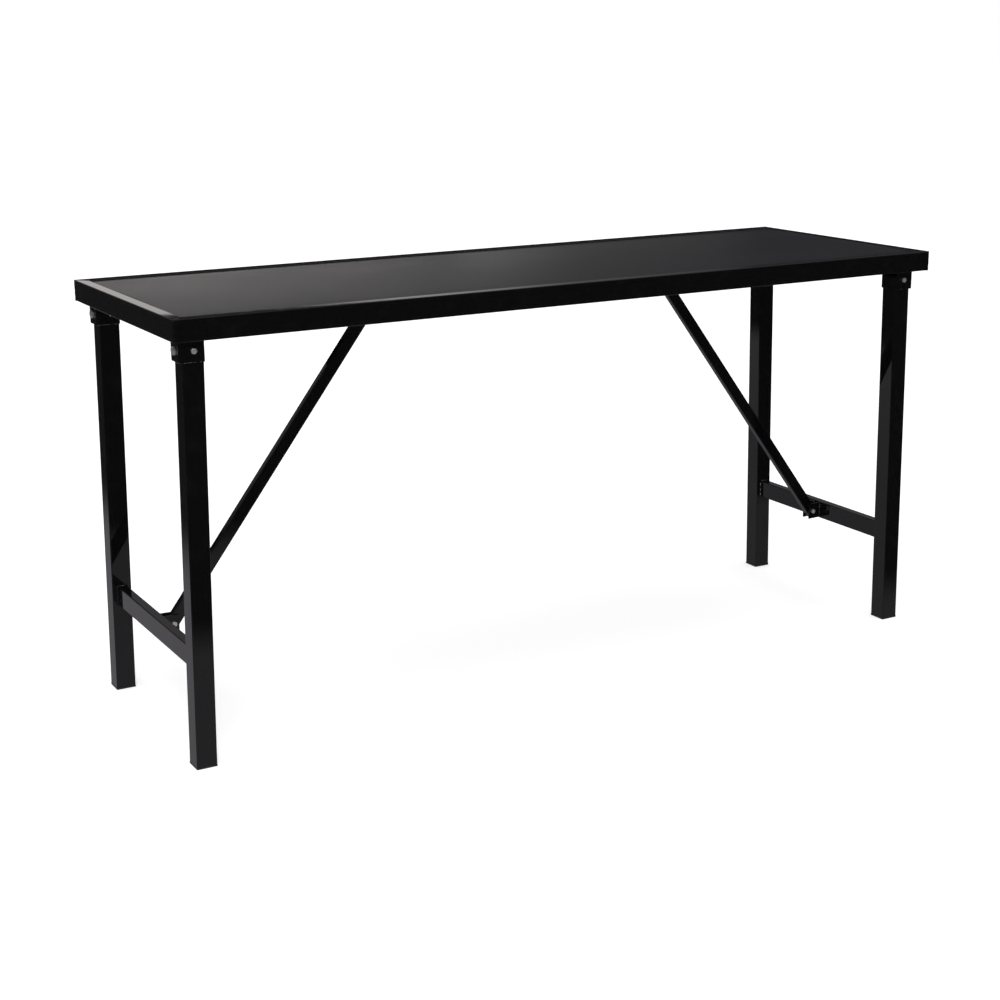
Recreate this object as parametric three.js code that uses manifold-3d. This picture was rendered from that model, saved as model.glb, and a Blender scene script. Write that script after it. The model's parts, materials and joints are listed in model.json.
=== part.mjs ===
// Folding work table: a laminate board set in a mitred steel frame, on two leg frames that fold up
// under it, each held out by one brace. Millimetres, +Z up, X along the table; the origin is on the
// floor under the middle of the table. The right end is the left end turned half a turn about Z.
import * as THREE from "three";
import { mergeVertices } from "three/addons/utils/BufferGeometryUtils.js";
import Module from "manifold-3d";

const wasm = await Module();
wasm.setup();

// Top
const TABLE_LENGTH = 1800;
const TABLE_WIDTH = 600;
const TABLE_HEIGHT = 885;
const RIM_HEIGHT = 43;
const TUBE_SIDE = 25; // narrow side of the rim tube, and height of the tubes under the board
const TUBE_WALL = 1.5;
const TUBE_RADIUS = 2;
const BOARD_THICKNESS = 15;
const BOARD_RECESS = 2;
const BOARD_SLACK = 0.5; // all round, to the rim
const SPINE_Y = 85; // the two long rails under the board, with the folded braces between them
const STRUT_HEIGHT = 22;
const LEDGE_SIDE = 15;
const LEDGE_WALL = 2;
const BOARD_SCREW_Y = 150;

// Hinge of a leg frame
const HINGE_X = 853;
const HINGE_DROP = 22; // below the rim's underside
const LEG_Y = 247;
const SPLAY = THREE.MathUtils.degToRad(1.08);
const BRACKET_HEIGHT = 43.5;
const BRACKET_PLATE = 3;
const BRACKET_WEB = 28; // hinge axis to the web's outer face
const BRACKET_BEND = 6;

// Leg frame, in its own coordinates: origin on the hinge axis, legs along -Z
const LEG_SIDE = 42;
const LEG_RADIUS = 2;
const LEG_TOP = 9; // above the hinge axis
const LEG_SWING = 21.6; // radius of the top end's corners, which pass under the hinge beam
const LEG_CLEARANCE = 0.5; // to the bracket's cheeks
const FOOT_FLANGE = 4;
const FOOT_PLUG = 20;
const CROSSBAR_DROP = 606.5;
const CROSSBAR_HEIGHT = 42;
const CROSSBAR_WIDTH = 20;
const EAR_REACH = 33;
const EAR_HEIGHT = 38;
const EAR_PLATE = 2.5;
const EAR_OPENING = 19;
const BRACE_OFFSET = 32; // leg axis to the brace's lower pivot

// Brace
const BRACE_DEPTH = 26;
const BRACE_WIDTH = 16;
const BRACE_WALL = 1.2;
const BRACE_RADIUS = 2;
const BRACE_END = 11; // past each pivot
const PIN_X = 387; // upper pivot, from the middle of the table
const PIN_Y = 50;
const PIN_Z = 842;
const CATCH_PLATE = 3;
const CATCH_OPENING = 20;
const CATCH_HALF = 14;
const CATCH_DEPTH = 15;
const SLOT_SLOPE = THREE.MathUtils.degToRad(-14);
const SLOT_FLARE = THREE.MathUtils.degToRad(8);

// Fasteners
const GAP = 0.3; // between touching pieces
const BOLT_RADIUS = 3;
const BOLT_HEAD = { flats: 10, height: 4 };
const NUT_HEIGHT = 5;
const BOLT_TAIL = 2;
const CLAMP_RADIUS = 5;
const CLAMP_HEAD = { flats: 16, height: 4.5 };
const BOARD_SCREW = { radius: 2, head: 4.5, height: 2.5, bite: 10 };

const RIM_BOTTOM = TABLE_HEIGHT - RIM_HEIGHT;
const BOARD_BOTTOM = TABLE_HEIGHT - BOARD_RECESS - BOARD_THICKNESS;
const SUPPORT_TOP = BOARD_BOTTOM - GAP;
const SUPPORT_HEIGHT = SUPPORT_TOP - RIM_BOTTOM;
const INNER_X = TABLE_LENGTH / 2 - TUBE_SIDE;
const INNER_Y = TABLE_WIDTH / 2 - TUBE_SIDE;
const BEAM_WIDTH = RIM_HEIGHT;
const BEAM_X = INNER_X - GAP - BEAM_WIDTH / 2;
const SPINE_LENGTH = 2 * (BEAM_X - BEAM_WIDTH / 2 - GAP);
const HINGE_Z = RIM_BOTTOM - HINGE_DROP;
const BRACKET_HALF = LEG_SIDE / 2 + LEG_CLEARANCE + BRACKET_PLATE;

const paint = () => new THREE.MeshStandardMaterial({ color: 0x0b0b0c, roughness: 0.18, metalness: 0 });
const laminate = () => new THREE.MeshStandardMaterial({ color: 0x17161a, roughness: 0.35, metalness: 0 });
const zinc = () => new THREE.MeshStandardMaterial({ color: 0xc4c8cc, roughness: 0.3, metalness: 1 });
const plastic = () => new THREE.MeshStandardMaterial({ color: 0x0e0e0f, roughness: 0.5, metalness: 0 });

function piece(name, geometry, material, position = [0, 0, 0]) {
  const mesh = new THREE.Mesh(geometry, material);
  mesh.name = name;
  mesh.position.set(...position);
  return mesh;
}

function roundedRectangle(path, width, height, radius) {
  const x = width / 2 - radius;
  const y = height / 2 - radius;
  path.absarc(x, y, radius, 0, Math.PI / 2);
  path.absarc(-x, y, radius, Math.PI / 2, Math.PI);
  path.absarc(-x, -y, radius, Math.PI, 1.5 * Math.PI);
  path.absarc(x, -y, radius, 1.5 * Math.PI, 2 * Math.PI);
  return path;
}

function tubeSection(width, height, wall, radius) {
  const shape = roundedRectangle(new THREE.Shape(), width, height, radius);
  const inner = Math.max(radius - wall, 0.5);
  shape.holes.push(roundedRectangle(new THREE.Path(), width - 2 * wall, height - 2 * wall, inner));
  return shape;
}

// A section pushed along one axis, centred on the origin. The section's own axes become Y and Z for a
// bar along X, X and Z for a bar along Y, and X and Y for a bar along Z.
function bar(section, length, axis) {
  const options = { depth: length, bevelEnabled: false, curveSegments: 3 };
  const geometry = new THREE.ExtrudeGeometry(section, options);
  geometry.translate(0, 0, -length / 2);
  const x = new THREE.Vector3(1, 0, 0);
  const y = new THREE.Vector3(0, 1, 0);
  const z = new THREE.Vector3(0, 0, 1);
  const basis = { X: [y, z, x], Y: [x, z, y.clone().negate()], Z: [x, y, z] }[axis];
  return geometry.applyMatrix4(new THREE.Matrix4().makeBasis(...basis));
}

function rod(radius, length, axis, sides = 16) {
  const geometry = new THREE.CylinderGeometry(radius, radius, length, sides);
  if (axis === "X") geometry.rotateZ(-Math.PI / 2);
  if (axis === "Z") geometry.rotateX(Math.PI / 2);
  return geometry;
}

function toSolid(geometry) {
  const bare = geometry.clone();
  bare.deleteAttribute("normal");
  bare.deleteAttribute("uv");
  const merged = mergeVertices(bare, 1e-3);
  const triVerts = Uint32Array.from(merged.index.array);
  return new wasm.Manifold(
    new wasm.Mesh({ numProp: 3, vertProperties: merged.attributes.position.array, triVerts })
  );
}

function toGeometry(solid) {
  const mesh = solid.getMesh();
  const geometry = new THREE.BufferGeometry();
  geometry.setAttribute("position", new THREE.BufferAttribute(mesh.vertProperties, 3));
  geometry.setIndex(new THREE.BufferAttribute(mesh.triVerts, 1));
  geometry.computeVertexNormals();
  return geometry;
}

const cut = (geometry, ...tools) =>
  toGeometry(tools.reduce((rest, tool) => rest.subtract(toSolid(tool)), toSolid(geometry)));
const join = (geometry, ...others) =>
  toGeometry(others.reduce((sum, other) => sum.add(toSolid(other)), toSolid(geometry)));
const overlap = (a, b) => toGeometry(toSolid(a).intersect(toSolid(b)));

// Hexagon head at and below y = 0, shank towards +Y.
function boltGeometry(head, radius, length) {
  const hexagon = rod(head.flats / Math.sqrt(3), head.height, "Y", 6).translate(0, -head.height / 2, 0);
  const shank = rod(radius, length + 1, "Y").translate(0, (length - 1) / 2, 0);
  return join(hexagon, shank);
}

function nutGeometry() {
  const hexagon = rod(BOLT_HEAD.flats / Math.sqrt(3), NUT_HEIGHT, "Y", 6);
  return cut(hexagon, rod(BOLT_RADIUS + GAP, NUT_HEIGHT + 2, "Y"));
}

// A bolt and nut through something that is 2 * half thick along Y. outward is the side of the head.
// The hinge nuts are welded to their bracket and painted with it.
function boltAndNut(parent, name, position, half, outward, nutFinish) {
  const reach = half + GAP;
  const length = 2 * reach + NUT_HEIGHT + BOLT_TAIL;
  const bolt = piece(`${name}_bolt`, boltGeometry(BOLT_HEAD, BOLT_RADIUS, length), zinc());
  bolt.position.set(position[0], position[1] + outward * reach, position[2]);
  if (outward > 0) bolt.rotation.z = Math.PI;
  const nut = piece(`${name}_nut`, nutGeometry(), nutFinish);
  nut.position.set(position[0], position[1] - outward * (reach + GAP + NUT_HEIGHT / 2), position[2]);
  parent.add(bolt, nut);
}

// One rim tube with mitred ends, lying along X with its outer side towards -Y.
function mitredRail(length) {
  const section = tubeSection(TUBE_SIDE, RIM_HEIGHT, TUBE_WALL, TUBE_RADIUS);
  const tube = bar(section, length, "X");
  const half = length / 2 - GAP;
  const plan = new THREE.Shape();
  plan.moveTo(-half, -TUBE_SIDE / 2);
  plan.lineTo(half, -TUBE_SIDE / 2);
  plan.lineTo(half - TUBE_SIDE, TUBE_SIDE / 2);
  plan.lineTo(-half + TUBE_SIDE, TUBE_SIDE / 2);
  plan.closePath();
  return overlap(tube, bar(plan, RIM_HEIGHT, "Z"));
}

function addRim(table) {
  const z = TABLE_HEIGHT - RIM_HEIGHT / 2;
  const sideY = (TABLE_WIDTH - TUBE_SIDE) / 2;
  const endX = (TABLE_LENGTH - TUBE_SIDE) / 2;
  const rails = [
    ["front_rail", TABLE_LENGTH, [0, -sideY, z], 0],
    ["back_rail", TABLE_LENGTH, [0, sideY, z], Math.PI],
    ["left_rail", TABLE_WIDTH, [-endX, 0, z], -Math.PI / 2],
    ["right_rail", TABLE_WIDTH, [endX, 0, z], Math.PI / 2],
  ];
  for (const [name, length, position, turn] of rails) {
    const rail = piece(name, mitredRail(length), paint(), position);
    rail.rotation.z = turn;
    table.add(rail);
  }
}

function addBoard(table) {
  const size = [2 * (INNER_X - BOARD_SLACK), 2 * (INNER_Y - BOARD_SLACK), BOARD_THICKNESS];
  const pilots = [];
  for (const x of [-BEAM_X, BEAM_X]) {
    for (const y of [-BOARD_SCREW_Y, BOARD_SCREW_Y]) {
      const depth = BOARD_SCREW.bite + GAP;
      const pilot = rod(BOARD_SCREW.radius + GAP, 2 * depth, "Z", 12);
      pilots.push(pilot.translate(x, y, -BOARD_THICKNESS / 2));
    }
  }
  const board = cut(new THREE.BoxGeometry(...size), ...pilots);
  table.add(piece("tabletop_board", board, laminate(), [0, 0, BOARD_BOTTOM + BOARD_THICKNESS / 2]));
}

function addLongSupports(table) {
  const spine = tubeSection(TUBE_SIDE, SUPPORT_HEIGHT, TUBE_WALL, TUBE_RADIUS);
  const strut = tubeSection(TUBE_SIDE, STRUT_HEIGHT, TUBE_WALL, TUBE_RADIUS);
  const z = RIM_BOTTOM + SUPPORT_HEIGHT / 2;
  const strutFrom = SPINE_Y + TUBE_SIDE / 2 + GAP;
  const strutTo = INNER_Y - 2 * GAP - LEDGE_WALL;
  const ledge = new THREE.Shape();
  ledge.moveTo(0, 0);
  ledge.lineTo(-LEDGE_SIDE, 0);
  ledge.lineTo(-LEDGE_SIDE, -LEDGE_WALL);
  ledge.lineTo(-LEDGE_WALL, -LEDGE_WALL);
  ledge.lineTo(-LEDGE_WALL, -LEDGE_SIDE);
  ledge.lineTo(0, -LEDGE_SIDE);
  ledge.closePath();
  for (const [row, side] of [["front", -1], ["back", 1]]) {
    table.add(piece(`${row}_spine_rail`, bar(spine, SPINE_LENGTH, "X"), paint(), [0, side * SPINE_Y, z]));
    const strutY = side * (strutFrom + strutTo) / 2;
    const strutZ = RIM_BOTTOM + STRUT_HEIGHT / 2;
    const strutBar = bar(strut, strutTo - strutFrom, "Y");
    table.add(piece(`${row}_middle_strut`, strutBar, paint(), [0, strutY, strutZ]));
    const ledgeBar = piece(`${row}_board_ledge`, bar(ledge, SPINE_LENGTH, "X"), paint());
    ledgeBar.position.set(0, side * (INNER_Y - GAP), SUPPORT_TOP);
    if (side < 0) ledgeBar.rotation.z = Math.PI;
    table.add(ledgeBar);
  }
}

function addHingeBeam(end, side, rowOf) {
  const section = tubeSection(BEAM_WIDTH, SUPPORT_HEIGHT, TUBE_WALL, TUBE_RADIUS);
  const z = RIM_BOTTOM + SUPPORT_HEIGHT / 2;
  const screwYs = [-BOARD_SCREW_Y, BOARD_SCREW_Y];
  const hole = rod(BOARD_SCREW.radius + GAP, SUPPORT_HEIGHT + 2, "Z", 12);
  const holes = screwYs.map((y) => hole.clone().translate(0, y, 0));
  const beam = cut(bar(section, 2 * (INNER_Y - GAP), "Y"), ...holes);
  end.add(piece(`${side}_hinge_beam`, beam, paint(), [-BEAM_X, 0, z]));
  const length = BOARD_BOTTOM + BOARD_SCREW.bite - RIM_BOTTOM + GAP;
  const head = rod(BOARD_SCREW.head, BOARD_SCREW.height, "Z", 16).translate(0, 0, -BOARD_SCREW.height / 2);
  const shank = rod(BOARD_SCREW.radius, length + 1, "Z", 12).translate(0, 0, (length - 1) / 2);
  for (const y of screwYs) {
    const name = `${side}_${rowOf(y)}_board_screw`;
    end.add(piece(name, join(head, shank), zinc(), [-BEAM_X, y, RIM_BOTTOM - GAP]));
  }
}

// U-shaped bracket, open towards the middle of the table and downwards.
function bracketGeometry() {
  const outer = BRACKET_HALF;
  const inner = outer - BRACKET_PLATE;
  const mouth = LEG_SIDE / 2;
  const bendX = -BRACKET_WEB + BRACKET_BEND;
  const bendY = outer - BRACKET_BEND;
  const innerBend = BRACKET_BEND - BRACKET_PLATE;
  const plan = new THREE.Shape();
  plan.moveTo(mouth, outer);
  plan.absarc(bendX, bendY, BRACKET_BEND, Math.PI / 2, Math.PI);
  plan.absarc(bendX, -bendY, BRACKET_BEND, Math.PI, 1.5 * Math.PI);
  plan.lineTo(mouth, -outer);
  plan.lineTo(mouth, -inner);
  plan.absarc(bendX, -bendY, innerBend, 1.5 * Math.PI, Math.PI, true);
  plan.absarc(bendX, bendY, innerBend, Math.PI, Math.PI / 2, true);
  plan.lineTo(mouth, inner);
  plan.closePath();
  const height = BRACKET_HEIGHT - GAP;
  const body = bar(plan, height, "Z").translate(0, 0, HINGE_DROP - GAP - height / 2);
  const hingeHole = rod(BOLT_RADIUS + GAP, 4 * outer, "Y");
  const clampHole = rod(CLAMP_RADIUS + GAP, BRACKET_WEB, "X").translate(-BRACKET_WEB, 0, 0);
  return cut(body, hingeHole, clampHole);
}

function addBrackets(end, side, rowOf) {
  for (const y of [-LEG_Y, LEG_Y]) {
    const name = `${side}_${rowOf(y)}`;
    end.add(piece(`${name}_hinge_bracket`, bracketGeometry(), paint(), [-HINGE_X, y, HINGE_Z]));
    boltAndNut(end, `${name}_hinge`, [-HINGE_X, y, HINGE_Z], BRACKET_HALF, Math.sign(y), paint());
    const screw = boltGeometry(CLAMP_HEAD, CLAMP_RADIUS, BRACKET_PLATE + GAP).rotateZ(-Math.PI / 2);
    const clampX = -HINGE_X - BRACKET_WEB - GAP;
    end.add(piece(`${name}_clamp_screw`, screw, zinc(), [clampX, y, HINGE_Z]));
  }
}

// The foot's underside is level when the leg stands splayed.
function footGeometry() {
  const floorAt = (x) => (x * Math.sin(SPLAY) - HINGE_Z) / Math.cos(SPLAY);
  const half = LEG_SIDE / 2;
  const top = floorAt(0) + FOOT_FLANGE;
  const side = new THREE.Shape();
  side.moveTo(-half, floorAt(-half));
  side.lineTo(half, floorAt(half));
  side.lineTo(half, top);
  side.lineTo(-half, top);
  side.closePath();
  const plugSide = LEG_SIDE - 2 * TUBE_WALL - 2 * GAP;
  const plugSection = roundedRectangle(new THREE.Shape(), plugSide, plugSide, LEG_RADIUS - TUBE_WALL);
  const plug = bar(plugSection, FOOT_PLUG + 1, "Z").translate(0, 0, top + (FOOT_PLUG - 1) / 2);
  return join(bar(side, LEG_SIDE, "Y"), plug);
}

function legGeometry() {
  const bottom = FOOT_FLANGE + GAP - HINGE_Z / Math.cos(SPLAY);
  const length = LEG_TOP - bottom;
  const section = tubeSection(LEG_SIDE, LEG_SIDE, TUBE_WALL, LEG_RADIUS);
  const tube = bar(section, length, "Z").translate(0, 0, bottom + length / 2);
  const belowHinge = new THREE.BoxGeometry(2 * LEG_SIDE, 2 * LEG_SIDE, 2 * length).translate(0, 0, -length);
  const shaped = overlap(tube, join(rod(LEG_SWING, 2 * LEG_SIDE, "Y", 48), belowHinge));
  return cut(shaped, rod(BOLT_RADIUS + GAP, 2 * LEG_SIDE, "Y"));
}

function earGeometry() {
  const near = CROSSBAR_WIDTH / 2 + GAP;
  const far = CROSSBAR_WIDTH / 2 + EAR_REACH;
  const plate = new THREE.BoxGeometry(far - near, EAR_PLATE, EAR_HEIGHT).translate((near + far) / 2, 0, 0);
  return cut(plate, rod(BOLT_RADIUS + GAP, 4 * EAR_PLATE, "Y").translate(BRACE_OFFSET, 0, 0));
}

function addLegFrame(end, side, rowOf) {
  const frame = new THREE.Group();
  frame.position.set(-HINGE_X, 0, HINGE_Z);
  frame.rotation.y = SPLAY;
  for (const y of [-LEG_Y, LEG_Y]) {
    frame.add(piece(`${side}_${rowOf(y)}_leg`, legGeometry(), paint(), [0, y, 0]));
    frame.add(piece(`${side}_${rowOf(y)}_foot`, footGeometry(), plastic(), [0, y, 0]));
  }
  const section = tubeSection(CROSSBAR_WIDTH, CROSSBAR_HEIGHT, TUBE_WALL, TUBE_RADIUS);
  const span = 2 * (LEG_Y - LEG_SIDE / 2 - GAP);
  frame.add(piece(`${side}_crossbar`, bar(section, span, "Y"), paint(), [0, 0, -CROSSBAR_DROP]));
  const earY = (EAR_OPENING + EAR_PLATE) / 2;
  for (const y of [-earY, earY]) {
    frame.add(piece(`${side}_${rowOf(y)}_brace_ear`, earGeometry(), paint(), [0, y, -CROSSBAR_DROP]));
  }
  const earHalf = EAR_OPENING / 2 + EAR_PLATE;
  boltAndNut(frame, `${side}_brace_lower`, [BRACE_OFFSET, 0, -CROSSBAR_DROP], earHalf, -1, zinc());
  end.add(frame);
}

// Lower pivot of the brace, where the splayed leg frame puts it.
const LOWER_PIVOT = new THREE.Vector3(BRACE_OFFSET, 0, -CROSSBAR_DROP)
  .applyAxisAngle(new THREE.Vector3(0, 1, 0), SPLAY)
  .add(new THREE.Vector3(-HINGE_X, 0, HINGE_Z));
const BRACE_RISE = Math.atan2(PIN_Z - LOWER_PIVOT.z, -PIN_X - LOWER_PIVOT.x);
const BRACE_RUN = Math.hypot(PIN_Z - LOWER_PIVOT.z, -PIN_X - LOWER_PIVOT.x);

// The brace leans sideways as it rises, so that both can lie side by side when folded.
function addBrace(end, side) {
  const lean = Math.atan2(PIN_Y, BRACE_RUN);
  const length = Math.hypot(PIN_Y, BRACE_RUN) + 2 * BRACE_END;
  const tube = bar(tubeSection(BRACE_WIDTH, BRACE_DEPTH, BRACE_WALL, BRACE_RADIUS), length, "X");
  tube.translate(length / 2 - BRACE_END, 0, 0).rotateZ(-lean);
  const lowerHole = rod(BOLT_RADIUS + GAP, 3 * BRACE_WIDTH, "Y");
  const upperHole = lowerHole.clone().translate(BRACE_RUN, -PIN_Y, 0);
  const brace = new THREE.Group();
  brace.position.copy(LOWER_PIVOT);
  brace.rotation.y = -BRACE_RISE;
  brace.add(piece(`${side}_brace`, cut(tube, lowerHole, upperHole), paint()));
  const pinHalf = CATCH_OPENING / 2 + CATCH_PLATE;
  boltAndNut(brace, `${side}_brace_upper`, [BRACE_RUN, -PIN_Y, 0], pinHalf, -1, zinc());
  end.add(brace);
}

// Two cheeks with slots open towards the middle of the table, under a plate that reaches the spine rail.
function catchGeometry() {
  const slot = BOLT_RADIUS + 2 * GAP;
  const top = SUPPORT_TOP - PIN_Z;
  const upper = [-slot * Math.sin(SLOT_SLOPE), slot * Math.cos(SLOT_SLOPE)];
  const mouthUpper = upper[1] + (CATCH_HALF - upper[0]) * Math.tan(SLOT_SLOPE + SLOT_FLARE);
  const mouthLower = -upper[1] + (CATCH_HALF + upper[0]) * Math.tan(SLOT_SLOPE - SLOT_FLARE);
  const side = new THREE.Shape();
  side.moveTo(-CATCH_HALF, top);
  side.lineTo(-CATCH_HALF, -CATCH_DEPTH);
  side.lineTo(CATCH_HALF, -CATCH_DEPTH);
  side.lineTo(CATCH_HALF, mouthLower);
  side.absarc(0, 0, slot, SLOT_SLOPE - Math.PI / 2, SLOT_SLOPE + Math.PI / 2, true);
  side.lineTo(CATCH_HALF, mouthUpper);
  side.lineTo(CATCH_HALF, top);
  side.closePath();
  const cheekY = (CATCH_OPENING + CATCH_PLATE) / 2;
  const inner = cheekY + CATCH_PLATE / 2;
  const outer = SPINE_Y - TUBE_SIDE / 2 - GAP - PIN_Y;
  const plate = new THREE.BoxGeometry(2 * CATCH_HALF, inner + outer, CATCH_PLATE);
  plate.translate(0, (inner - outer) / 2, top - CATCH_PLATE / 2);
  const cheek = bar(side, CATCH_PLATE, "Y");
  return join(plate, cheek.clone().translate(0, -cheekY, 0), cheek.clone().translate(0, cheekY, 0));
}

function addEnd(table, side, turn) {
  const end = new THREE.Group();
  end.rotation.z = turn;
  const rowOf = (y) => (y < 0 === (turn === 0) ? "front" : "back");
  addHingeBeam(end, side, rowOf);
  addBrackets(end, side, rowOf);
  addLegFrame(end, side, rowOf);
  addBrace(end, side);
  end.add(piece(`${side}_brace_catch`, catchGeometry(), paint(), [-PIN_X, -PIN_Y, PIN_Z]));
  table.add(end);
}

const group = new THREE.Group();
addRim(group);
addBoard(group);
addLongSupports(group);
addEnd(group, "left", 0);
addEnd(group, "right", Math.PI);

export default group;
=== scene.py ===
import bpy, bmesh, json, math, random
from mathutils import Matrix, Vector, noise


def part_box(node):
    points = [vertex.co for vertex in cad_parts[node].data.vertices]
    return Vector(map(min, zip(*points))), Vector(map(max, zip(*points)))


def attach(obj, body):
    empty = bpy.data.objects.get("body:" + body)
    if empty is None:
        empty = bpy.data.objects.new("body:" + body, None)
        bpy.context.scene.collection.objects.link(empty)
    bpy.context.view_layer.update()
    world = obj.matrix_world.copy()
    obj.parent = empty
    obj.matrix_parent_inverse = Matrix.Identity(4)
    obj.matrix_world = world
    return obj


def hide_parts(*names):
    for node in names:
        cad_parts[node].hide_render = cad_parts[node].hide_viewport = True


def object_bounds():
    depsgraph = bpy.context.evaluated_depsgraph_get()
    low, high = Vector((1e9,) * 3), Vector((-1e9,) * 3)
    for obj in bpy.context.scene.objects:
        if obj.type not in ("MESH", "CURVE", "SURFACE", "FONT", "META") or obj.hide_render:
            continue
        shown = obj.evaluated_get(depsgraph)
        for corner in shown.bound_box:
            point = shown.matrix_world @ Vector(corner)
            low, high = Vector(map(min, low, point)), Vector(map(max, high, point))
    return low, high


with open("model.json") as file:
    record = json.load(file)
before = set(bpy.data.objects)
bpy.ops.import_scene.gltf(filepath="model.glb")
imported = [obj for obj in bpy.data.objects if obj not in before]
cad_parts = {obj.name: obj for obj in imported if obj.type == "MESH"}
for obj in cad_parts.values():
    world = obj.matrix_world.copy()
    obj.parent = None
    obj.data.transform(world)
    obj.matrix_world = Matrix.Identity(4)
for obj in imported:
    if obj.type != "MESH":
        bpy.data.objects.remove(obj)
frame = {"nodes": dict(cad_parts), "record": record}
cad_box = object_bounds()
record = frame["record"]
BODY_OF = {n: b for b, ns in record["behaviour"]["bodies"].items() for n in ns}
SLOT_OF = {s["node"]: s["material_slot"] for s in record["subparts"]}
MM = 0.001
X, Y, Z = Vector((1, 0, 0)), Vector((0, 1, 0)), Vector((0, 0, 1))

# how far each kind of piece is rounded off at its edges
TUBE_EDGE = 0.22 * MM
PLATE_EDGE = 0.4 * MM
BRACKET_EDGE = 0.45 * MM
BOARD_EDGE = 0.5 * MM
FOOT_EDGE = 0.7 * MM
SHARP_ANGLE = math.radians(38)

# faces that aren't quite flat
BOARD_CROWN = 1.9 * MM
CROWN_STRIPS = 24
BACK_RIM_RISE = 0.65 * MM * Y
RIGHT_RIM_RISE = 0.8 * MM * X

BOARD_ROUGHNESS = 0.175
FINE_BUMP = 0.02 * MM
BLACK_CLEAN, BLACK_DUSTY = (0.0024, 0.0023, 0.0023, 1), (0.0055, 0.0053, 0.0050, 1)
# bare steel for the chips, which also gives a painted highlight along the brackets' lower edges
BARE_STEEL_AND_HIGHLIGHT = (0.42, 0.40, 0.40, 1)
LAMINATE_DARK, LAMINATE_PALE = (0.0040, 0.0038, 0.0042, 1), (0.0092, 0.0088, 0.0092, 1)
ZINC_BRIGHT, ZINC_CLOUDY = (0.95, 0.89, 0.78, 1), (0.72, 0.69, 0.64, 1)
PLASTIC_BLACK, PLASTIC_SCUFFED = (0.008, 0.008, 0.0085, 1), (0.05, 0.048, 0.045, 1)

# weld beads: size, and how deep the middle of a ground bead lies in its seam
CROSSBAR_WELD = 3.9 * MM
EAR_WELD = 3.2 * MM
BRACKET_WELD = 3.0 * MM
BEAM_WELD = 2.6 * MM
STRUT_WELD = 2.4 * MM
CATCH_WELD = 2.2 * MM
LEDGE_WELD = 2.0 * MM
MITRE_WELD, MITRE_DEPTH = 2.0 * MM, 0.85 * MM
CORNER_WELD, CORNER_DEPTH = 2.2 * MM, 1.75 * MM


# ---------------------------------------------------------------- materials
def add(tree, kind, inputs=None, **settings):
    node = tree.nodes.new(kind)
    for key, value in settings.items():
        setattr(node, key, value)
    for key, value in (inputs or {}).items():
        if isinstance(value, bpy.types.NodeSocket):
            tree.links.new(value, node.inputs[key])
        else:
            node.inputs[key].default_value = value
    return node


def new_material(name, **constants):
    material = bpy.data.materials.new(name)
    material.use_nodes = True
    tree = material.node_tree
    shader = tree.nodes["Principled BSDF"]
    for key, value in constants.items():
        shader.inputs[key.replace("_", " ")].default_value = value
    where = add(tree, "ShaderNodeTexCoord").outputs["Object"]
    return material, tree, shader, where


def stretched(tree, where, scale):
    return add(tree, "ShaderNodeMapping", {"Vector": where, "Scale": scale}).outputs["Vector"]


def fbm(tree, where, scale, detail=3.0, rough=0.5):
    inputs = {"Vector": where, "Scale": scale, "Detail": detail, "Roughness": rough}
    return add(tree, "ShaderNodeTexNoise", inputs).outputs["Fac"]


def remap(tree, value, low, high, to_low=0.0, to_high=1.0):
    inputs = {"Value": value, "From Min": low, "From Max": high, "To Min": to_low, "To Max": to_high}
    return add(tree, "ShaderNodeMapRange", inputs).outputs["Result"]


def math_node(tree, operation, a, b=0.0, c=0.0):
    node = add(tree, "ShaderNodeMath", operation=operation)
    for i, value in enumerate((a, b, c)):
        if isinstance(value, bpy.types.NodeSocket):
            tree.links.new(value, node.inputs[i])
        else:
            node.inputs[i].default_value = value
    return node.outputs[0]


def mixed(tree, factor, a, b):
    node = add(tree, "ShaderNodeMix", data_type="RGBA")
    for socket, value in ((node.inputs[0], factor), (node.inputs[6], a), (node.inputs[7], b)):
        if isinstance(value, bpy.types.NodeSocket):
            tree.links.new(value, socket)
        else:
            socket.default_value = value
    return node.outputs[2]


def scaled(tree, value, factor):
    return math_node(tree, "MULTIPLY", value, factor)


def total(tree, a, b):
    return math_node(tree, "ADD", a, b)


def bumped(tree, shader, height, strength, distance):
    node = add(tree, "ShaderNodeBump", {"Height": height, "Strength": strength, "Distance": distance})
    tree.links.new(node.outputs["Normal"], shader.inputs["Normal"])


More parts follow.
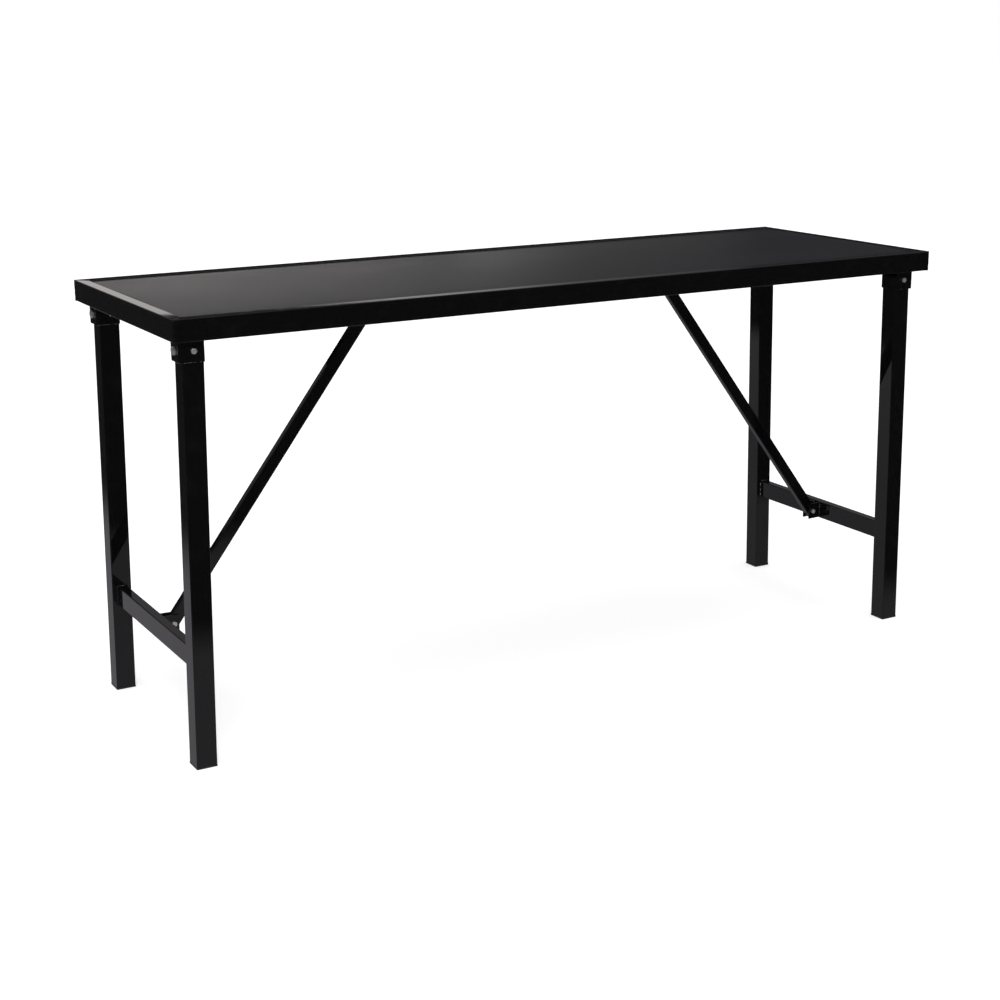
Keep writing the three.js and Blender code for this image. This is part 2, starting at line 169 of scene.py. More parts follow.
def paint_material(name, lower_edge_height=None):
    """Gloss black powder coat: a low orange peel, a little dust, and small chips on a plate's lower edge,
    whose mask also paints a highlight line along that edge.
    """
    material, tree, shader, where = new_material(name, Metallic=0.0, IOR=1.5)
    peel = fbm(tree, where, 300.0, 2.0)
    waves = fbm(tree, where, 45.0, 2.0)
    dust = remap(tree, fbm(tree, where, 26.0, 6.0, 0.65), 0.52, 0.85)
    colour = mixed(tree, dust, BLACK_CLEAN, BLACK_DUSTY)
    roughness = remap(tree, dust, 0.0, 1.0, 0.012, 0.045)
    bumped(tree, shader, total(tree, peel, scaled(tree, waves, 2.0)), 0.10, FINE_BUMP)
    if lower_edge_height is not None:
        place = add(tree, "ShaderNodeSeparateXYZ", {"Vector": where})
        low = remap(tree, place.outputs["Z"], lower_edge_height + 0.9 * MM, lower_edge_height + 0.3 * MM)
        # the chip mask is wide enough to paint a highlight line along the lower edge as well, more of it on
        # the left brackets and less to the right
        scarcer = remap(tree, place.outputs["X"], cad_box[0][0], cad_box[1][0], 0.0, -0.10)
        patch = remap(tree, total(tree, fbm(tree, where, 420.0, 3.0, 0.6), scarcer), 0.49, 0.54)
        chip_and_highlight = scaled(tree, low, patch)
        colour = mixed(tree, chip_and_highlight, colour, BARE_STEEL_AND_HIGHLIGHT)
        roughness = total(tree, roughness, scaled(tree, chip_and_highlight, 0.3))
        tree.links.new(chip_and_highlight, shader.inputs["Metallic"])
    tree.links.new(colour, shader.inputs["Base Color"])
    tree.links.new(roughness, shader.inputs["Roughness"])
    return material


def laminate_material():
    """Satin black laminate: an even fine speckle, faint clouds, and rub marks that hardly show."""
    material, tree, shader, where = new_material("black_laminate", Metallic=0.0, IOR=1.5)
    speckle = fbm(tree, where, 520.0, 3.0, 0.65)
    cloud = fbm(tree, where, 5.0, 4.0, 0.5)
    rubs = fbm(tree, stretched(tree, where, (6.0, 160.0, 160.0)), 1.0, 3.0, 0.5)
    tone = remap(tree, total(tree, scaled(tree, speckle, 0.75), scaled(tree, rubs, 0.25)), 0.36, 0.64)
    tree.links.new(mixed(tree, tone, LAMINATE_DARK, LAMINATE_PALE), shader.inputs["Base Color"])
    satin = total(tree, scaled(tree, tone, 0.05), scaled(tree, cloud, 0.05))
    tree.links.new(total(tree, satin, BOARD_ROUGHNESS), shader.inputs["Roughness"])
    bumped(tree, shader, speckle, 0.10, FINE_BUMP)
    return material


def zinc_material():
    """Bright zinc plate with a fine grain and cloudy passivation."""
    material, tree, shader, where = new_material("zinc_plate", Metallic=0.84)
    cloud = fbm(tree, where, 700.0, 4.0, 0.6)
    fine = fbm(tree, where, 4200.0, 2.0)
    colour = mixed(tree, remap(tree, cloud, 0.35, 0.65), ZINC_BRIGHT, ZINC_CLOUDY)
    tree.links.new(colour, shader.inputs["Base Color"])
    tree.links.new(remap(tree, cloud, 0.3, 0.7, 0.24, 0.42), shader.inputs["Roughness"])
    bumped(tree, shader, fine, 0.12, 0.03 * MM)
    return material


def plastic_material():
    """Moulded black polyethylene: fine spark-eroded grain, scuffed where it meets the floor."""
    material, tree, shader, where = new_material("black_plastic", Metallic=0.0, IOR=1.49)
    grain = fbm(tree, where, 1600.0, 2.0)
    z = add(tree, "ShaderNodeSeparateXYZ", {"Vector": where}).outputs["Z"]
    low = remap(tree, z, 4 * MM, 0.0)
    scuff = scaled(tree, low, remap(tree, fbm(tree, where, 300.0, 4.0, 0.7), 0.45, 0.65))
    tree.links.new(mixed(tree, scuff, PLASTIC_BLACK, PLASTIC_SCUFFED), shader.inputs["Base Color"])
    tree.links.new(remap(tree, scuff, 0.0, 1.0, 0.38, 0.7), shader.inputs["Roughness"])
    bumped(tree, shader, grain, 0.25, 0.05 * MM)
    return material


PAINT = paint_material("black_paint")
BRACKET_PAINT = paint_material("bracket_paint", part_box("left_front_hinge_bracket")[0].z)
MATERIALS = {
    "black_paint": PAINT,
    "black_laminate": laminate_material(),
    "zinc_plate": zinc_material(),
    "black_plastic": plastic_material(),
}


# ---------------------------------------------------------------- mesh helpers
def finish_piece(name, mesh, node=None, body=None, slot=None, material=None, weight=50):
    """Smooth shading that stays sharp at real edges, then the piece's body, slot and material."""
    piece = bpy.data.objects.new(name, mesh)
    bpy.context.scene.collection.objects.link(piece)
    for polygon in mesh.polygons:
        polygon.use_smooth = True
    mesh.set_sharp_from_angle(angle=SHARP_ANGLE)
    slot = slot or SLOT_OF[node]
    mesh.materials.clear()
    mesh.materials.append(material or MATERIALS[slot])
    normals = piece.modifiers.new("normals", "WEIGHTED_NORMAL")
    normals.keep_sharp = True
    normals.weight = weight
    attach(piece, body or BODY_OF[node])
    if node:
        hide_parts(node)
    return piece


def refined(node, edge, segments=2, material=None, crown=0.0, rise=None):
    """The node's own solid with its sharp edges rounded off.

    crown lifts the middle of the top face, and rise lifts its edge that lies in that direction.
    """
    low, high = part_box(node)
    bm = bmesh.new()
    bm.from_mesh(frame["nodes"][node].data)
    bmesh.ops.remove_doubles(bm, verts=bm.verts, dist=2e-6)
    bmesh.ops.dissolve_limit(bm, angle_limit=math.radians(0.5), verts=bm.verts, edges=bm.edges)
    sharp = [e for e in bm.edges if len(e.link_faces) == 2 and e.calc_face_angle(0) > math.radians(40)]
    bmesh.ops.bevel(bm, geom=sharp, offset=edge, offset_type="OFFSET", segments=segments, profile=0.5,
                    affect="EDGES", clamp_overlap=True)
    if rise is not None:
        for vert in bm.verts:
            if vert.co.z > high.z - 2 * edge:
                vert.co.z += rise.dot(vert.co - low) / (high - low).dot(rise.normalized())
    if crown:
        for k in range(1, CROWN_STRIPS):
            place = Vector((0, low.y + (high.y - low.y) * k / CROWN_STRIPS, 0))
            everything = bm.verts[:] + bm.edges[:] + bm.faces[:]
            bmesh.ops.bisect_plane(bm, geom=everything, plane_co=place, plane_no=Y, dist=1e-6)
        for vert in bm.verts:
            if vert.co.z > high.z - 0.02 * MM:
                vert.co.z += crown * (1 - (2 * (vert.co.y - low.y) / (high.y - low.y) - 1) ** 2)
    mesh = bpy.data.meshes.new(node + "_shell")
    bm.to_mesh(mesh)
    bm.free()
    return finish_piece(node + "_shell", mesh, node, material=material, weight=100)


def mesh_from(name, points, faces):
    mesh = bpy.data.meshes.new(name)
    mesh.from_pydata([tuple(p) for p in points], [], faces)
    mesh.update()
    return mesh


def lofted(rings, cap_start=True, cap_end=True):
    """Points and faces of a skin over equal closed rings."""
    n = len(rings[0])
    points = [p for ring in rings for p in ring]
    faces = []
    for i in range(len(rings) - 1):
        for k in range(n):
            a, b = i * n + k, i * n + (k + 1) % n
            faces.append((a, b, b + n, a + n))
    if cap_start:
        faces.append(tuple(reversed(range(n))))
    if cap_end:
        faces.append(tuple(range((len(rings) - 1) * n, len(rings) * n)))
    return points, faces


def place_on(origin, axis, turn=0.0):
    """A matrix that puts local +Z along axis at origin, turned about it."""
    tilt = axis.to_track_quat("Z", "Y").to_matrix().to_4x4()
    return Matrix.Translation(origin) @ tilt @ Matrix.Rotation(turn, 4, "Z")


# ---------------------------------------------------------------- fasteners
SIDES = 48
THREAD_PITCH, THREAD_DEPTH = 1.0 * MM, 0.45 * MM
THREADED = 8 * MM
NUT_BORE = 3.1 * MM


def hex_ring(flats, factor, z, chamfer=None):
    """A ring on a hexagon's outline; with chamfer, its height falls where the corners pass that radius."""
    ring = []
    for k in range(SIDES):
        a = 2 * math.pi * k / SIDES
        off = (a + math.pi / 6) % (math.pi / 3) - math.pi / 6
        r = factor * flats / 2 / math.cos(off)
        drop = 0.0 if chamfer is None else max(0.0, r - chamfer) * 0.55
        ring.append(Vector((r * math.cos(a), r * math.sin(a), z - drop)))
    return ring


def round_ring(radius, z):
    angles = [2 * math.pi * k / SIDES for k in range(SIDES)]
    return [Vector((radius * math.cos(a), radius * math.sin(a), z)) for a in angles]


def thread_rings(radius, low, high):
    """Rings of a thread from high down to low, with a chamfered tip at low."""
    rings = []
    count = max(4, round((high - low) / THREAD_PITCH * 8))
    for i in range(count + 1):
        z = high + (low - high) * i / count
        tip = max(0.0, 1 - (z - low) / (0.7 * MM)) * 0.6 * MM
        ring = []
        for k in range(SIDES):
            phase = (z / THREAD_PITCH + k / SIDES) % 1.0
            depth = THREAD_DEPTH * abs(2 * phase - 1) ** 0.8
            r = min(radius - 0.05 * MM - depth, radius - tip)
            a = 2 * math.pi * k / SIDES
            ring.append(Vector((r * math.cos(a), r * math.sin(a), z)))
        rings.append(ring)
    return rings


def bolt_mesh(name, flats, height, radius, length, thread_from):
    """Head above z = 0, shank down to -length, threaded below -thread_from."""
    land = 0.95 * flats / 2
    washer_face = 0.93 * flats / 2
    dished_top = [round_ring(0.02 * MM, height - 0.30 * MM), round_ring(0.62 * land, height - 0.28 * MM),
                  round_ring(0.72 * land, height - 0.02 * MM), round_ring(land * 0.98, height)]
    hexagon = [hex_ring(flats, 0.995, height - 0.06 * MM, land),
               hex_ring(flats, 1.0, height - 0.30 * MM, land),
               hex_ring(flats, 1.0, 0.55 * MM), hex_ring(flats, 0.99, 0.42 * MM)]
    below = [round_ring(washer_face, 0.40 * MM), round_ring(washer_face, 0.0),
             round_ring(radius, 0.0), round_ring(radius, -thread_from)]
    rings = dished_top + hexagon + below
    rings += thread_rings(radius, -length, -thread_from - 0.3 * MM)
    rings.append(round_ring(0.02 * MM, -length))
    points, faces = lofted([list(reversed(r)) for r in rings])
    return mesh_from(name, points, faces)


def nut_mesh(name, flats, height, bore):
    """Between z = 0 and -height, chamfered at both ends, with an open bore."""
    land = 0.95 * flats / 2
    def end(sign, base):
        face = [round_ring(bore, base - sign * 0.5 * MM), round_ring(bore + 0.5 * MM, base),
                round_ring(land * 0.98, base)]
        corners = [hex_ring(flats, 0.995, 0.0, land), hex_ring(flats, 1.0, 0.0, land)]
        for ring, back in zip(corners, (0.06 * MM, 0.30 * MM)):
            for p in ring:
                p.z = base + sign * (p.z - back)
        return face + corners
    rings = end(1, 0.0) + list(reversed(end(-1, -height)))
    rings = [list(reversed(r)) for r in rings]
    points, faces = lofted(rings, False, False)
    last = (len(rings) - 1) * SIDES
    faces += [(last + k, last + (k + 1) % SIDES, (k + 1) % SIDES, k) for k in range(SIDES)]
    return mesh_from(name, points, faces)


def oriented_box(node, axis):
    """The node's lowest and highest place along an axis, and the middle of its outline across that axis."""
    points = [v.co for v in frame["nodes"][node].data.vertices]
    along = [p.dot(axis) for p in points]
    side = [p - axis * p.dot(axis) for p in points]
    middle = (Vector(map(min, *side)) + Vector(map(max, *side))) / 2
    return min(along), max(along), middle


def replace_bolt(name, head_side, turn, flats=10 * MM, height=4 * MM, radius=3 * MM):
    """head_side is the world direction the head faces."""
    low, high, middle = oriented_box(name, head_side)
    under = middle + head_side * (high - height)
    length = high - height - low
    grip = length - THREADED if length > 1.5 * THREADED else 0.8 * MM
    mesh = bolt_mesh(name + "_body", flats, height, radius, length, grip)
    mesh.transform(place_on(under, head_side, turn))
    return finish_piece(name + "_body", mesh, name)


def replace_nut(name, face, turn, flats=10 * MM):
    low, high, middle = oriented_box(name, face)
    mesh = nut_mesh(name + "_body", flats, high - low, NUT_BORE)
    mesh.transform(place_on(middle + face * high, face, turn))
    return finish_piece(name + "_body", mesh, name)


def replace_screw(name, turn):
    """A pan-head screw seen from below, with a cross recess."""
    low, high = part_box(name)
    middle = Vector(((low.x + high.x) / 2, (low.y + high.y) / 2, low.z))
    radius, tall, rim, shank = (high.x - low.x) / 2, 2.5 * MM, 0.35 * MM, 2.0 * MM
    rings = [round_ring(0.02 * MM, tall)]
    for k in range(1, 9):
        a = k / 8 * math.pi / 2
        rings.append(round_ring(radius * math.sin(a) ** 0.8, rim + (tall - rim) * math.cos(a) ** 0.7))
    rings += [round_ring(radius, 0.0), round_ring(shank, 0.0), round_ring(shank, -(high.z - low.z - tall))]
    points, faces = lofted([list(reversed(r)) for r in rings])
    mesh = mesh_from(name + "_body", points, faces)
    cutter = bmesh.new()
    for k in range(2):
        made = bmesh.ops.create_cube(cutter, size=1.0)["verts"]
        size = Matrix.Diagonal((1.05 * radius, 0.9 * MM, 2.6 * MM, 1))
        shape = Matrix.Translation((0, 0, tall)) @ Matrix.Rotation(k * math.pi / 2, 4, "Z") @ size
        bmesh.ops.transform(cutter, matrix=shape, verts=made)
    blade_mesh = bpy.data.meshes.new("blade")
    cutter.to_mesh(blade_mesh)
    cutter.free()
    blade = bpy.data.objects.new("blade", blade_mesh)
    body = bpy.data.objects.new("screw_raw", mesh)
    for o in (blade, body):
        bpy.context.scene.collection.objects.link(o)
    cut = body.modifiers.new("recess", "BOOLEAN")
    cut.operation, cut.solver, cut.object, cut.use_self = "DIFFERENCE", "EXACT", blade, True
    bpy.context.view_layer.update()
    done = bpy.data.meshes.new_from_object(body.evaluated_get(bpy.context.evaluated_depsgraph_get()))
    for o in (blade, body):
        bpy.data.objects.remove(o)
    done.transform(place_on(middle + Z * tall, -Z, turn))
    return finish_piece(name + "_body", done, name)


# ---------------------------------------------------------------- weld beads
BEAD_STEP, BEAD_SIDES = 0.5 * MM, 12
RIPPLE = 2.4 * MM


def bead(start, end, out, size, seed, lift=0.0):
    """Points and faces of a lumpy run of weld ripples along a seam, its crown towards out."""
    out = out.normalized()
    along = (end - start).normalized()
    across = along.cross(out).normalized()
    length = (end - start).length
    steps = max(6, round(length / BEAD_STEP))
    shift = random.Random(seed).uniform(0, 50)
    rings = []
    for i in range(steps + 1):
        t = i / steps
        s = t * length
        ripple = abs(math.sin(math.pi * s / RIPPLE + shift))
        drift = noise.noise(Vector((s * 160 + shift, seed * 1.7, 0)))
        ends = min(1.0, (min(t, 1 - t) * length + 0.25 * MM) / (1.2 * MM)) ** 0.5
        r = size * ends * (0.82 + 0.18 * ripple + 0.26 * drift)
        wander = size * 0.16 * noise.noise(Vector((s * 110, shift, 3.0)))
        centre = start + along * s + across * wander + out * lift
        ring = []
        for k in range(BEAD_SIDES):
            a = 2 * math.pi * k / BEAD_SIDES
            rise = 0.72 * math.sin(a) * (1.0 if math.sin(a) > 0 else 0.35)
            lag = 0.35 * max(0.0, math.sin(a)) ** 2
            ring.append(centre + (across * 1.12 * math.cos(a) + out * rise - along * lag) * r)
        rings.append(ring)
    return lofted(rings)


def welded(name, runs, body):
    """One piece of several weld runs, each a bead() call's arguments."""
    points, faces = [], []
    for seed, run in enumerate(runs):
        new_points, new_faces = bead(*run[:4], seed=seed + len(name), lift=run[4] if len(run) > 4 else 0.0)
        faces += [tuple(i + len(points) for i in face) for face in new_faces]
        points += new_points
    mesh = mesh_from(name, points, faces)
    bm = bmesh.new()
    bm.from_mesh(mesh)
    bmesh.ops.recalc_face_normals(bm, faces=bm.faces)
    bm.to_mesh(mesh)
    bm.free()
    return finish_piece(name, mesh, body=body, slot="black_paint")


def end_seams(node, axes, end, faces, size, spans=((0.0, 1.0),)):
    """Runs along the edges where one end of a bar meets the piece that it is welded to.

    axes are the bar's three directions, end is the (index, sign) of the end, and faces the (index, sign)
    of each side of the bar that carries a run over the given parts of its width.
    """
    points = [v.co for v in frame["nodes"][node].data.vertices]
    reach = [[min(p.dot(a) for p in points), max(p.dot(a) for p in points)] for a in axes]
    along, sign = end
    runs = []
    for side, way in faces:
        across = 3 - along - side
        place = [0.0, 0.0, 0.0]
        place[along] = reach[along][sign > 0]
        place[side] = reach[side][way > 0]
        for span in spans:
            ends = []
            for t in span:
                place[across] = reach[across][0] + (reach[across][1] - reach[across][0]) * t
                ends.append(sum((a * c for a, c in zip(axes, place)), Vector()))
            runs.append((*ends, axes[side] * way - axes[along] * sign, size))
    return runs


# ---------------------------------------------------------------- the object
for node, slot in SLOT_OF.items():
    if slot == "zinc_plate" or node.endswith("_hinge_nut"):
        continue
    if node.endswith("_hinge_bracket"):
        refined(node, BRACKET_EDGE, 3, BRACKET_PAINT)
    elif node == "tabletop_board":
        refined(node, BOARD_EDGE, 3, crown=BOARD_CROWN)
    elif node == "back_rail":
        refined(node, TUBE_EDGE, rise=BACK_RIM_RISE)
    elif node == "right_rail":
        refined(node, TUBE_EDGE, rise=RIGHT_RIM_RISE)
    elif node.endswith("_foot"):
        refined(node, FOOT_EDGE, 3)
    elif node.endswith(("_ear", "_catch")):
        refined(node, PLATE_EDGE, 3)
    else:
        refined(node, TUBE_EDGE)

SIDE_SIGNS = (("left", -1), ("right", 1))
ROW_SIGNS = (("front", -1), ("back", 1))
CLAMP_SCREW = {"flats": 16 * MM, "height": 4.5 * MM, "radius": 5 * MM}
turns = random.Random(7)
for side, sx in SIDE_SIGNS:
    for row, sy in ROW_SIGNS:
        outward = Vector((0, sy, 0))
        replace_bolt(f"{side}_{row}_hinge_bolt", outward, turns.uniform(0, 1))
        replace_nut(f"{side}_{row}_hinge_nut", -outward, turns.uniform(0, 1))
        replace_bolt(f"{side}_{row}_clamp_screw", Vector((sx, 0, 0)), turns.uniform(0, 1), **CLAMP_SCREW)
        replace_screw(f"{side}_{row}_board_screw", turns.uniform(0, 1.5))
    for end in ("lower", "upper"):
        replace_bolt(f"{side}_brace_{end}_bolt", Vector((0, sx, 0)), turns.uniform(0, 1))
        replace_nut(f"{side}_brace_{end}_nut", Vector((0, -sx, 0)), turns.uniform(0, 1))

WORLD = (X, Y, Z)
JOINTS = {j["name"]: j for j in record["behaviour"]["joints"]}
BRACKET_TACKS = ((0.24, 0.40), (0.62, 0.78))
LEDGE_STITCHES = [(k / 9 + 0.03, k / 9 + 0.048) for k in range(9)]


def leg_axes(side):
    """The leg frame's own three directions: its legs lean outwards a little."""
    hinge = Vector(JOINTS[f"{side}_leg_fold"]["pos_m"])
    foot_low, foot_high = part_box(f"{side}_front_foot")
    splay = math.atan2((foot_low.x + foot_high.x) / 2 - hinge.x, hinge.z)
    leg_up = Vector((-math.sin(splay), 0, math.cos(splay)))
    return Y.cross(leg_up), Y, leg_up


def rim_corner_runs(side, sx, sy):
    """The ground beads over one mitre, above, below and down its corner."""
    outer = Vector((sx * cad_box[1][0], sy * cad_box[1][1], 0))
    rail_low, rail_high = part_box(f"{side}_rail")
    corner = Vector((sx, sy, 0))
    inner = outer - corner * (rail_high.x - rail_low.x)
    runs = []
    for z, out in ((rail_high.z, Z), (rail_low.z, -Z)):
        runs.append((outer * 0.9995 + Z * z, inner + Z * z, out, MITRE_WELD, -MITRE_DEPTH))
    low, high = rail_low.z + 0.6 * MM, rail_high.z - 0.6 * MM
    runs.append((outer + Z * low, outer + Z * high, corner, CORNER_WELD, -CORNER_DEPTH))
    return runs


under_runs, bracket_runs, rim_runs = [], [], []
all_round = [(0, -1), (0, 1), (2, -1), (2, 1)]
for side, sx in SIDE_SIGNS:
    tilted = leg_axes(side)
    runs = end_seams(f"{side}_crossbar", tilted, (1, 1), all_round, CROSSBAR_WELD)
    runs += end_seams(f"{side}_crossbar", tilted, (1, -1), all_round, CROSSBAR_WELD)
    for row in ("front", "back"):
        runs += end_seams(f"{side}_{row}_brace_ear", tilted, (0, sx), [(1, -1), (1, 1)], EAR_WELD)
    welded(f"{side}_leg_frame_welds", runs, f"{side}_leg_frame")
    for row, sy in ROW_SIGNS:
        bracket, flanks = f"{side}_{row}_hinge_bracket", [(1, -1), (1, 1)]
        bracket_runs += end_seams(bracket, WORLD, (2, 1), [(0, sx)], BRACKET_WELD, BRACKET_TACKS)
        bracket_runs += end_seams(bracket, WORLD, (2, 1), flanks, BRACKET_WELD, ((0.45, 0.8),))
        under_runs += end_seams(f"{row}_spine_rail", WORLD, (0, sx), flanks + [(2, -1)], BEAM_WELD)
        beam_faces = [(0, -sx), (2, -1)]
        under_runs += end_seams(f"{side}_hinge_beam", WORLD, (1, sy), beam_faces, BEAM_WELD, ((0.08, 0.92),))
        rim_runs += rim_corner_runs(side, sx, sy)
for row, sy in ROW_SIGNS:
    for sign in (-1, 1):
        strut_faces = [(0, -1), (0, 1), (2, -1)]
        under_runs += end_seams(f"{row}_middle_strut", WORLD, (1, sign), strut_faces, STRUT_WELD)
    under_runs += end_seams(f"{row}_board_ledge", WORLD, (1, sy), [(2, -1)], LEDGE_WELD, LEDGE_STITCHES)
for side, sx in SIDE_SIGNS:
    under_runs += end_seams(f"{side}_brace_catch", WORLD, (1, sx), [(2, 1)], CATCH_WELD, ((0.1, 0.9),))
welded("bracket_welds", bracket_runs, "top")
welded("rim_corner_welds", rim_runs, "top")
welded("underframe_welds", under_runs, "top")

# ---------------------------------------------------------------- stage, light, camera
def linked(name, data):
    made = bpy.data.objects.new(name, data)
    bpy.context.scene.collection.objects.link(made)
    return made


def stage_plane(name, corners, z):
    plane = linked(name, mesh_from(name, [(x, y, z) for x, y in corners], [tuple(range(len(corners)))]))
    return plane


def glow(name, colour):
    """A material that only shines, at strength 1 until a node is linked to it."""
    material = bpy.data.materials.new(name)
    material.use_nodes = True
    tree = material.node_tree
    tree.nodes.clear()
    light = add(tree, "ShaderNodeEmission", {"Color": colour, "Strength": 1.0})
    out = add(tree, "ShaderNodeOutputMaterial")
    tree.links.new(light.outputs[0], out.inputs["Surface"])
    return material


FLOOR_RADIUS, BACKDROP_RADIUS = 60, 70
FLOOR_GLOW = 0.62
floor = stage_plane("floor", [(p.x, p.y) for p in round_ring(FLOOR_RADIUS, 0.0)], -0.4 * MM)
floor.data.materials.append(new_material(
    "pale_floor", Roughness=0.9, Base_Color=(0.80, 0.80, 0.80, 1), Specular_IOR_Level=0.0,
    Emission_Color=(1, 1, 1, 1), Emission_Strength=FLOOR_GLOW)[0])
floor.visible_glossy = False

# a white dome round everything, which only the camera sees
heights = [i * math.pi / 30 for i in range(-1, 15)]
dome_rings = [round_ring(BACKDROP_RADIUS * math.cos(a), BACKDROP_RADIUS * math.sin(a)) for a in heights]
dome_points, dome_faces = lofted(dome_rings, False, True)
dome = linked("backdrop", mesh_from("backdrop", dome_points, dome_faces))
dome.data.materials.append(glow("backdrop_white", (1, 1, 1, 1)))
for rays in ("diffuse", "glossy", "transmission", "volume_scatter", "shadow"):
    setattr(dome, "visible_" + rays, False)

# the lit paper under the table, which only shows in reflections: its light fades to a faint base at each edge
PAPER_LIGHT = (0.32, 0.25)    # at the table's left end, and from a little right of its middle on
PAPER_BASE = 0.03
PAPER_OUTLINE = [(-1.42, -1.24), (1.6, -0.27), (2.6, 3.4), (-1.0, 3.4), (-1.42, 1.6)]
PAPER_FADES = [0.16, 0.10, 0.2, 0.2, 0.16]
paper = stage_plane("paper", [(-2.4, -2.4), (3.6, -2.4), (3.6, 4.0), (-2.4, 4.0)], -2 * MM)
paper.data.materials.append(glow("paper_glow", (1.0, 0.96, 1.03, 1)))
tree = paper.data.materials[0].node_tree
where = add(tree, "ShaderNodeTexCoord").outputs["Object"]
along = add(tree, "ShaderNodeSeparateXYZ", {"Vector": where}).outputs["X"]
light = remap(tree, along, -0.9, 0.1, *PAPER_LIGHT)
for start, end, fade in zip(PAPER_OUTLINE, PAPER_OUTLINE[1:] + PAPER_OUTLINE[:1], PAPER_FADES):
    side = (Vector(end) - Vector(start)).normalized()
    inwards = Vector((-side.y, side.x, 0))
    depth = add(tree, "ShaderNodeVectorMath", {0: where, 1: inwards}, operation="DOT_PRODUCT")
    edge = inwards.dot(Vector((*start, 0)))
    band = {"Value": depth.outputs["Value"], "From Min": edge - fade, "From Max": edge + fade}
    soft = add(tree, "ShaderNodeMapRange", band, interpolation_type="SMOOTHSTEP").outputs["Result"]
    light = scaled(tree, soft, light)
tree.links.new(total(tree, light, PAPER_BASE), tree.nodes["Emission"].inputs["Strength"])
for rays in ("camera", "diffuse", "transmission", "shadow"):
    setattr(paper, "visible_" + rays, False)

# what the table's faces reflect: a lit wall, a dark strip above it, then a ceiling that brightens upwards
world = bpy.data.worlds.new("studio")
bpy.context.scene.world = world
world.use_nodes = True
tree = world.node_tree
direction = add(tree, "ShaderNodeTexCoord").outputs["Generated"]
toward = add(tree, "ShaderNodeSeparateXYZ", {"Vector": direction}).outputs
azimuth = scaled(tree, math_node(tree, "ARCTAN2", toward["X"], toward["Y"]), 180 / math.pi)
elevation = scaled(tree, math_node(tree, "ARCSINE", toward["Z"]), 180 / math.pi)


def ramp(tree, value, low, high, stops):
    """A colour ramp over degrees."""
    node = add(tree, "ShaderNodeValToRGB", {"Fac": remap(tree, value, low, high)})
    elements = node.color_ramp.elements
    elements.remove(elements[1])
    for at, colour in stops[1:]:
        elements.new((at - low) / (high - low)).color = (*colour, 1)
    elements[0].color = (*stops[0][1], 1)
    return node.outputs["Color"]


# by azimuth from +Y towards +X: lit from -12 to 27 degrees, fading out until 38, dim all round behind
wall = ramp(tree, azimuth, -180, 180, [
    (-180, (0.13, 0.13, 0.13)), (-60, (0.10, 0.10, 0.11)), (-25, (0.05, 0.05, 0.06)),
    (-12, (0.40, 0.39, 0.38)), (0, (0.85, 0.82, 0.80)), (20, (0.82, 0.79, 0.77)),
    (27, (0.54, 0.52, 0.51)), (32, (0.14, 0.14, 0.14)), (37, (0.08, 0.078, 0.078)),
    (38, (0.034, 0.033, 0.040)), (60, (0.045, 0.045, 0.05)), (180, (0.12, 0.12, 0.12))])
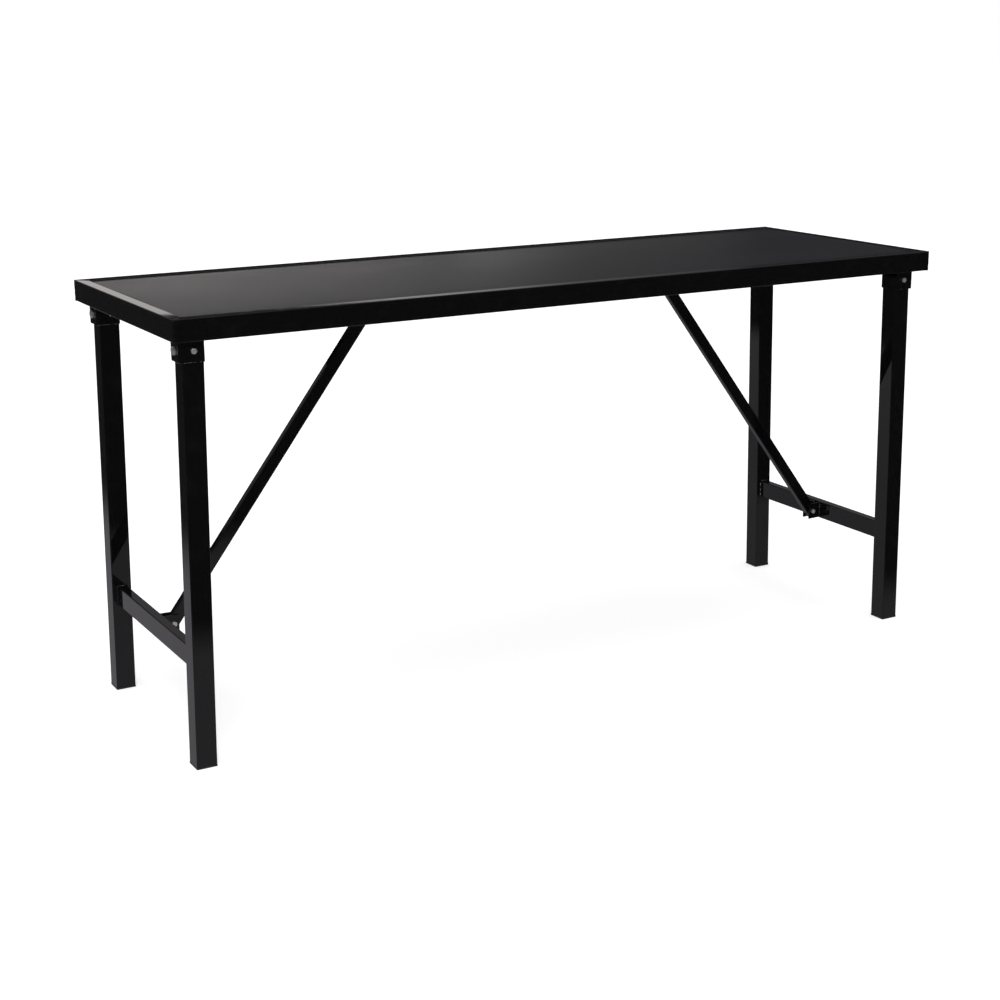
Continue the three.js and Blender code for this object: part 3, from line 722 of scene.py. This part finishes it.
# by elevation, where the wall isn't: dark below it and close above it, then lighter towards the top
above = ramp(tree, elevation, 0, 90, [
    (0, (0.012, 0.012, 0.013)), (8.2, (0.012, 0.012, 0.013)), (9.4, (0.021, 0.021, 0.028)),
    (12.5, (0.022, 0.022, 0.029)), (14.7, (0.17, 0.168, 0.178)), (20, (0.19, 0.187, 0.194)),
    (35, (0.26, 0.26, 0.27)), (90, (0.43, 0.43, 0.44))])
BELOW = (0.030, 0.030, 0.033, 1)
WALL_TOP, WALL_TOP_SLOPE = 9.66, 0.0375
sloping = math_node(tree, "MULTIPLY_ADD", remap(tree, azimuth, 0, 45, 0, 45), WALL_TOP_SLOPE, elevation)
under_top = remap(tree, sloping, WALL_TOP + 0.04, WALL_TOP - 0.04)
wall_foot = remap(tree, azimuth, 28, 30, 5.1, 0.0)
above_foot = remap(tree, math_node(tree, "SUBTRACT", elevation, wall_foot), 0.0, 0.5)
colour = mixed(tree, remap(tree, elevation, -0.2, 0.2), BELOW, above)
colour = mixed(tree, scaled(tree, under_top, above_foot), colour, wall)
tree.links.new(colour, tree.nodes["Background"].inputs["Color"])
tree.nodes["Background"].inputs["Strength"].default_value = 1.0

sky = bpy.data.lights.new("overhead", "SUN")
sky.energy, sky.angle = 1.35, math.radians(70)
overhead = linked("overhead", sky)
overhead.rotation_euler = (math.radians(8), math.radians(-6), 0)
overhead.visible_glossy = False

KEY_PLACE, KEY_TARGET = Vector((-2.4, -3.4, 2.9)), Vector((0, 0, 0.7))
key_light = bpy.data.lights.new("key", "AREA")
key_light.shape = "RECTANGLE"
key_light.size, key_light.size_y = 1.6, 1.2
key_light.energy = 60
key = linked("key", key_light)
key.location = KEY_PLACE
key.rotation_mode = "QUATERNION"
key.rotation_quaternion = (KEY_TARGET - KEY_PLACE).to_track_quat("-Z", "Y")

CAMERA_PLACE = (-1.9333, -3.2932, 1.3936)
CAMERA_TURN = (-29.66, -15.205, -0.393)    # degrees of yaw, pitch and roll
CAMERA_LENS = 63.2065                      # millimetres, on the 36 mm sensor
camera_data = bpy.data.cameras.new("camera")
camera_data.sensor_width = 36.0
camera_data.lens = CAMERA_LENS
camera = linked("camera", camera_data)
yaw, pitch, roll = (math.radians(a) for a in CAMERA_TURN)
forward = Vector((-math.sin(yaw) * math.cos(pitch), math.cos(yaw) * math.cos(pitch), math.sin(pitch)))
right = Vector((math.cos(yaw), math.sin(yaw), 0))
up = right.cross(forward)
level_right = right * math.cos(roll) + up * math.sin(roll)
level_up = up * math.cos(roll) - right * math.sin(roll)
turned = Matrix((level_right, level_up, -forward)).transposed().to_4x4()
camera.matrix_world = Matrix.Translation(CAMERA_PLACE) @ turned
bpy.context.scene.camera = camera
bpy.context.scene.view_settings.view_transform = "Standard"

bpy.context.view_layer.update()
